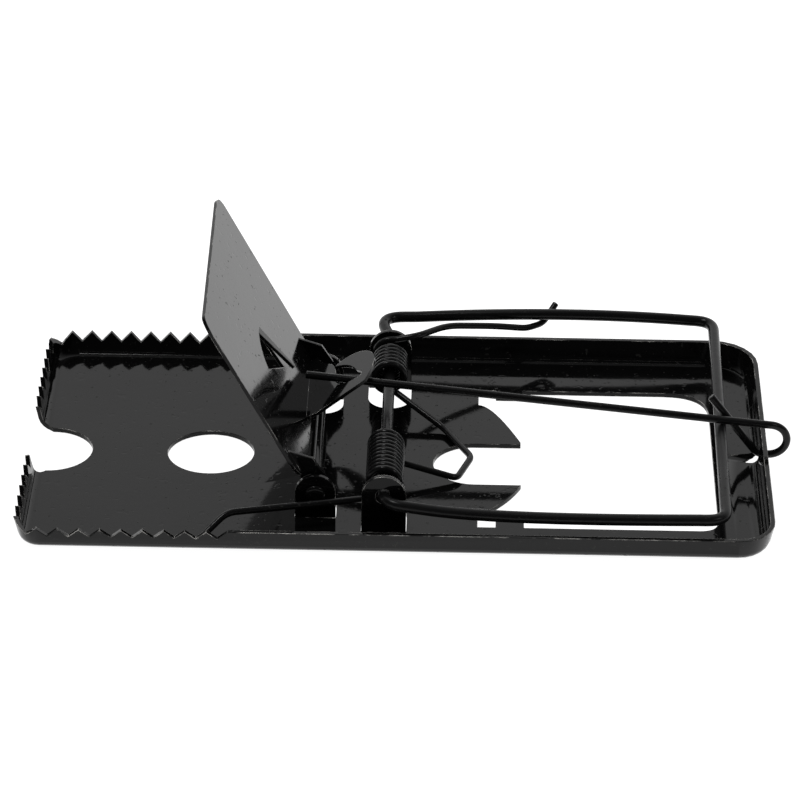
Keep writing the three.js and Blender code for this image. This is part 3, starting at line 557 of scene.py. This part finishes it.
# ---------------------------------------------------------------------------
# spring_bar_leg: the far end of the same spring wire. It leaves the top of the far coil, runs
# under the bar's far arm and is hooked up outside it, so that it throws the bar over.
# ---------------------------------------------------------------------------

END_GAP = 0.3


def bar_leg_line():
    """Half a turn round the axle beside the far coil's end, then the bends of the leg, which
    passes under the bar's far arm and turns up outside it."""
    end_y = FAR_COIL_Y + COIL_PITCH * FAR_COIL_TURNS + END_GAP + SPRING_DIAMETER
    half_turn = coil_line(end_y, COIL_PITCH, -100, -262)
    leg = rounded_line(
        [
            (-0.6, end_y + 0.5, AXLE_Z + COIL_RADIUS),
            (2.4, end_y + 0.6, 8.6),
            (6.3, 22.4, 8.0),
            (12.9, 25.4, 6.5),
            (17.3, 27, 5.4),
            (19.6, 29, 5.2),
            (21.4, 31, 7.3),
        ],
        [0, 1.2, 2, 2, 0.9, 0.9, 0],
    )
    return np.concatenate([half_turn, leg])


bar_leg = drawn_wire(
    "spring_leg", bar_leg_line(), SPRING_DIAMETER, COIL_UPRIGHT, step=0.2, sides=18, soften=5
)
bar_leg.data.materials.append(SPRING_LACQUER)
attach(bar_leg, "kill_bar")
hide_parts("spring_bar_leg")

# ---------------------------------------------------------------------------
# hold_down_rod: 1.05 mm wire. Its arm lies over the crosspiece with its tip under the
# treadle's hook; its other end is a hairpin round the end wall, threaded through the fold.
# ---------------------------------------------------------------------------

ROD_DIAMETER = 1.05
ARM_LENGTH = 62.1
ARM_END_X, ARM_END_Y = 49.6, -1.55
ROD_CROSS_Y = -0.9
ARM_SIDE_SLOPE, ARM_RISE_SLOPE = 0.0926, 0.053
HAIRPIN_X = 49.4
HAIRPIN_OFFSET_Y = 1.25
ROD_HOLE_HEIGHT = 0.7
TAIL_FOOT_X, TAIL_TIP_Y = 48.2, 0.9
TAIL_LENGTH = 10.3
TAIL_BEND = 0.9


def rod_line():
    """Straight arm, half-round hairpin in an upright plane, and the tail that rises inside. The
    arm passes just over the crosspiece. The tail's slope is the slope of the line from its foot
    to the crosspiece, plus the angle that keeps the two wires apart."""
    share_of_cross = (ROD_CROSS_Y - CROSS_NEAR_Y) / (CROSS_FAR_Y - CROSS_NEAR_Y)
    cross_z = CROSS_NEAR_Z + share_of_cross * (CROSS_FAR_Z - CROSS_NEAR_Z)
    apart = (BAR_DIAMETER + ROD_DIAMETER) / 2 + WIRE_GAP
    end_z = cross_z + apart - ARM_RISE_SLOPE * (ARM_END_X - CROSS_X)
    away = np.linspace(ARM_LENGTH, 0, 40)
    arm = np.stack(
        [
            ARM_END_X - away,
            ARM_END_Y + ARM_SIDE_SLOPE * away,
            end_z + ARM_RISE_SLOPE * away,
        ],
        axis=-1,
    )
    low_z = SHEET + ROD_HOLE_HEIGHT
    low_y = ARM_END_Y + HAIRPIN_OFFSET_Y
    half = (end_z - low_z) / 2
    share = np.linspace(0, 1, 26)[1:-1]
    hairpin = np.stack(
        [
            HAIRPIN_X + half * np.sin(np.pi * share),
            ARM_END_Y + HAIRPIN_OFFSET_Y * share,
            low_z + half * (1 + np.cos(np.pi * share)),
        ],
        axis=-1,
    )
    to_cross = (TAIL_FOOT_X - CROSS_X - CROSS_SKEW * share_of_cross, cross_z - low_z)
    rise = math.atan2(to_cross[1], to_cross[0]) + math.asin(apart / math.hypot(*to_cross))
    tip_x = TAIL_FOOT_X - TAIL_LENGTH * math.cos(rise)
    tip_z = low_z + TAIL_LENGTH * math.sin(rise)
    tail = rounded_line(
        [(HAIRPIN_X, low_y, low_z), (TAIL_FOOT_X, low_y, low_z), (tip_x, TAIL_TIP_Y, tip_z)],
        [0, TAIL_BEND, 0],
    )
    return np.concatenate([arm, hairpin, tail])


rod = drawn_wire("trigger_rod", rod_line(), ROD_DIAMETER, (0, 1, 0), step=0.22, sides=22, soften=5)
rod.data.materials.append(
    black_lacquer(
        "rod_lacquer_worn",
        base=WIRE_BLACK,
        rough=0.22,
        specks=0.5,
        wear=0.25,
        peel=0.6,
        edge=0.05,
    )
)
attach(rod, "hold_down_rod")
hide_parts("hold_down_rod")

# ---------------------------------------------------------------------------
# Floor: a plain white sheet that the trap stands on. It isn't part of the trap. Its white is
# painted light: the sheet glows by itself, so no shadow falls on it under the trap, and the glow
# is painted a little brighter behind the trap than in front.
# ---------------------------------------------------------------------------

FLOOR_HALF = 3.0
FLOOR_Z = -0.0001
FRONT_Y, FRONT_GLOW = -0.02, 0.97
BACK_Y, BACK_GLOW = 0.08, 1.12

floor_mesh = bpy.data.meshes.new("floor")
floor_mesh.from_pydata(
    [
        (-FLOOR_HALF, -FLOOR_HALF, FLOOR_Z),
        (FLOOR_HALF, -FLOOR_HALF, FLOOR_Z),
        (FLOOR_HALF, FLOOR_HALF, FLOOR_Z),
        (-FLOOR_HALF, FLOOR_HALF, FLOOR_Z),
    ],
    [],
    [(0, 1, 2, 3)],
)
floor = bpy.data.objects.new("floor", floor_mesh)
scene.collection.objects.link(floor)
glowing_paper = bpy.data.materials.new("glowing_white_paper")
glowing_paper.use_nodes = True
paper_skin = glowing_paper.node_tree.nodes["Principled BSDF"]
paper_skin.inputs["Base Color"].default_value = (0.35, 0.35, 0.35, 1)
paper_skin.inputs["Roughness"].default_value = 0.9
paper_skin.inputs["Specular IOR Level"].default_value = 0.0
# Painted light: the sheet glows with its own emission, so it stays white where a shadow would
# fall.
paper_skin.inputs["Emission Strength"].default_value = 1.0
across_floor = glowing_paper.node_tree.nodes.new("ShaderNodeSeparateXYZ")
floor_place = glowing_paper.node_tree.nodes.new("ShaderNodeTexCoord")
# Painted light: the glow rises from FRONT_GLOW in front of the trap to BACK_GLOW behind it.
lit_floor = glowing_paper.node_tree.nodes.new("ShaderNodeMapRange")
lit_floor.inputs["From Min"].default_value = FRONT_Y
lit_floor.inputs["From Max"].default_value = BACK_Y
lit_floor.inputs["To Min"].default_value = FRONT_GLOW
lit_floor.inputs["To Max"].default_value = BACK_GLOW
glowing_paper.node_tree.links.new(floor_place.outputs["Object"], across_floor.inputs["Vector"])
glowing_paper.node_tree.links.new(across_floor.outputs["Y"], lit_floor.inputs["Value"])
glowing_paper.node_tree.links.new(lit_floor.outputs["Result"], paper_skin.inputs["Emission Color"])
floor_mesh.materials.append(glowing_paper)

# ---------------------------------------------------------------------------
# Light: a lit white wall behind the trap, a dark room in front, and two small soft boxes
# overhead that give the glints on the bends.
# ---------------------------------------------------------------------------

ROOM_SHARE, ROOM_LIGHT = 0.45, 0.05
WALL_SHARE, WALL_LIGHT = 0.78, 1

world = bpy.data.worlds.new("white_tent")
scene.world = world
world.use_nodes = True
sky = world.node_tree
direction = sky.nodes.new("ShaderNodeTexCoord").outputs["Generated"]
towards = sky.nodes.new("ShaderNodeSeparateXYZ")
sky.links.new(direction, towards.inputs["Vector"])
wall_light = sky.nodes.new("ShaderNodeValToRGB")
room, wall = wall_light.color_ramp.elements
room.position, room.color = ROOM_SHARE, (ROOM_LIGHT, ROOM_LIGHT, ROOM_LIGHT, 1)
wall.position, wall.color = WALL_SHARE, (WALL_LIGHT, WALL_LIGHT, WALL_LIGHT, 1)
to_share = sky.nodes.new("ShaderNodeMapRange")
to_share.inputs["From Min"].default_value = -1.0
sky.links.new(towards.outputs["Y"], to_share.inputs["Value"])
sky.links.new(to_share.outputs["Result"], wall_light.inputs["Fac"])
sky.links.new(wall_light.outputs["Color"], sky.nodes["Background"].inputs["Color"])
sky.nodes["Background"].inputs["Strength"].default_value = 1.0


def soft_box(name, place, width, length, power):
    """A rectangular lamp at place, turned to face the middle of the trap."""
    lamp = bpy.data.lights.new(name, "AREA")
    lamp.shape = "RECTANGLE"
    lamp.size = width
    lamp.size_y = length
    lamp.energy = power
    box = bpy.data.objects.new(name, lamp)
    scene.collection.objects.link(box)
    box.location = place
    box.rotation_euler = (-Vector(place)).to_track_quat("-Z", "Y").to_euler()


soft_box("soft_box_over", (-0.2, -0.1, 0.75), width=0.22, length=0.16, power=1.6)
soft_box("soft_box_right", (0.6, -0.45, 0.6), width=0.12, length=0.16, power=0.8)

scene.view_settings.view_transform = "Standard"

# ---------------------------------------------------------------------------
# Camera: a long lens about 0.6 m away, looking along the trap's width from above the near
# wall, down by its pitch and turned by its yaw and roll.
# ---------------------------------------------------------------------------

CAMERA_PLACE = (0.00804, -0.5082, 0.2855)
FOCAL_LENGTH = 195.3
SENSOR_WIDTH = 36
PITCH = math.radians(28.6)
YAW = math.radians(-0.88)
ROLL = math.radians(-0.60)

lens = bpy.data.cameras.new("camera")
lens.sensor_width = SENSOR_WIDTH
lens.lens = FOCAL_LENGTH
lens.clip_start = 0.01
camera = bpy.data.objects.new("camera", lens)
scene.collection.objects.link(camera)
level_right = Vector((math.cos(YAW), -math.sin(YAW), 0))
heading = Vector((math.sin(YAW), math.cos(YAW), 0))
looking = heading * math.cos(PITCH) - Vector((0, 0, 1)) * math.sin(PITCH)
level_up = heading * math.sin(PITCH) + Vector((0, 0, 1)) * math.cos(PITCH)
right = level_right * math.cos(ROLL) - level_up * math.sin(ROLL)
up = level_right * math.sin(ROLL) + level_up * math.cos(ROLL)
turn = Matrix((right, up, -looking)).transposed().to_4x4()
camera.matrix_world = Matrix.Translation(CAMERA_PLACE) @ turn
scene.camera = camera
